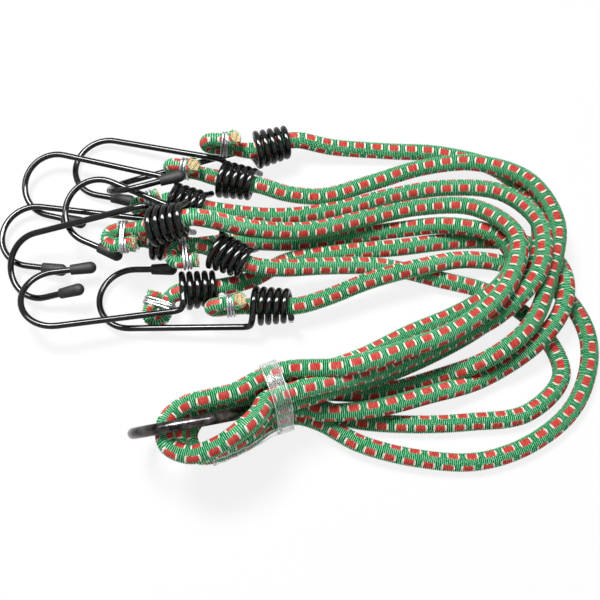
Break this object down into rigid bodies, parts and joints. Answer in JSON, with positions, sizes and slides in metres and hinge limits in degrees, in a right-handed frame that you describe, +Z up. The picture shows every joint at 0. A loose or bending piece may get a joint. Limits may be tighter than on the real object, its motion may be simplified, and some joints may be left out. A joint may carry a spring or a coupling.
{
  "type": "bungee cord",
  "caption": "Elastic luggage spider: woven-cover cords folded through a steel ring, each arm ending in a coiled wire hook with a vinyl tip cap.",
  "frame": {"origin": "on the floor under the middle of the footprint of the hooks, clips, ring and band", "axes": "+Z up from the floor it lies on, +X towards the cords' far turns and away from the hooks, +Y away from the ring"},
  "size_m": [0.2645, 0.1671, 0.0468],
  "materials": {
    "cord_cover": "woven cover, green with rows of red blocks edged in white",
    "rubber_core": "natural beige rubber strands",
    "clip_wire": "bright bent wire",
    "hook_wire": "glossy black coated steel wire",
    "tip_vinyl": "dull dark grey dipped vinyl",
    "ring_steel": "dark polished steel",
    "band_clear": "clear flexible plastic strap"
  },
  "bodies": {
    "cords": {"cord_a": "cord_cover", "cord_b": "cord_cover", "cord_c": "cord_cover", "cord_d": "cord_cover", "clear_band": "band_clear", "core_end_1": "rubber_core", "core_end_2": "rubber_core", "core_end_3": "rubber_core", "core_end_4": "rubber_core", "core_end_5": "rubber_core", "core_end_6": "rubber_core", "core_end_7": "rubber_core", "core_end_8": "rubber_core", "wire_clip_1": "clip_wire", "wire_clip_2": "clip_wire", "wire_clip_3": "clip_wire", "wire_clip_4": "clip_wire", "wire_clip_5": "clip_wire", "wire_clip_6": "clip_wire", "wire_clip_7": "clip_wire", "wire_clip_8": "clip_wire"},
    "hook_1": {"hook_1": "hook_wire", "tip_cap_1": "tip_vinyl"},
    "hook_2": {"hook_2": "hook_wire", "tip_cap_2": "tip_vinyl"},
    "hook_3": {"hook_3": "hook_wire", "tip_cap_3": "tip_vinyl"},
    "hook_4": {"hook_4": "hook_wire", "tip_cap_4": "tip_vinyl"},
    "hook_5": {"hook_5": "hook_wire", "tip_cap_5": "tip_vinyl"},
    "hook_6": {"hook_6": "hook_wire", "tip_cap_6": "tip_vinyl"},
    "hook_7": {"hook_7": "hook_wire", "tip_cap_7": "tip_vinyl"},
    "hook_8": {"hook_8": "hook_wire", "tip_cap_8": "tip_vinyl"},
    "ring": {"steel_ring": "ring_steel"}
  },
  "joints": [
    {"name": "hook_1_turn", "type": "hinge", "parent": "cords", "child": "hook_1", "pos_m": [0.0473, 0.0664, 0.012], "axis": [-0.9509, -0.309, 0.0175], "range_deg": [-6, 0]},
    {"name": "hook_2_turn", "type": "hinge", "parent": "cords", "child": "hook_2", "pos_m": [0.0313, 0.0534, 0.009], "axis": [-0.9666, 0.241, -0.0872], "range_deg": [-3, 2]},
    {"name": "hook_3_turn", "type": "hinge", "parent": "cords", "child": "hook_3", "pos_m": [0.0093, 0.0414, 0.01], "axis": [-0.9653, 0.2587, -0.0349], "range_deg": [-2, 2]},
    {"name": "hook_4_turn", "type": "hinge", "parent": "cords", "child": "hook_4", "pos_m": [0.0043, 0.0164, 0.031], "axis": [-0.9419, -0.0824, -0.3256], "range_deg": [-19, 3]},
    {"name": "hook_5_turn", "type": "hinge", "parent": "cords", "child": "hook_5", "pos_m": [0.0023, 0.0214, 0.009], "axis": [-0.9863, 0.1562, -0.0523], "range_deg": [-8, 2]},
    {"name": "hook_6_turn", "type": "hinge", "parent": "cords", "child": "hook_6", "pos_m": [0.0303, 0.0124, 0.019], "axis": [-0.913, 0.4065, 0.0349], "range_deg": [-2, 3]},
    {"name": "hook_7_turn", "type": "hinge", "parent": "cords", "child": "hook_7", "pos_m": [0.0163, -0.0036, 0.009], "axis": [-0.9811, -0.173, 0.0872], "range_deg": [-8, 3]},
    {"name": "hook_8_turn", "type": "hinge", "parent": "cords", "child": "hook_8", "pos_m": [0.0483, -0.0106, 0.009], "axis": [-0.9974, 0.0174, -0.0698], "range_deg": [-6, 7]},
    {"name": "ring_spin", "type": "hinge", "parent": "cords", "child": "ring", "pos_m": [0.0233, -0.0686, 0.024], "axis": [0.181, -0.9309, -0.3173], "continuous": true}
  ]
}
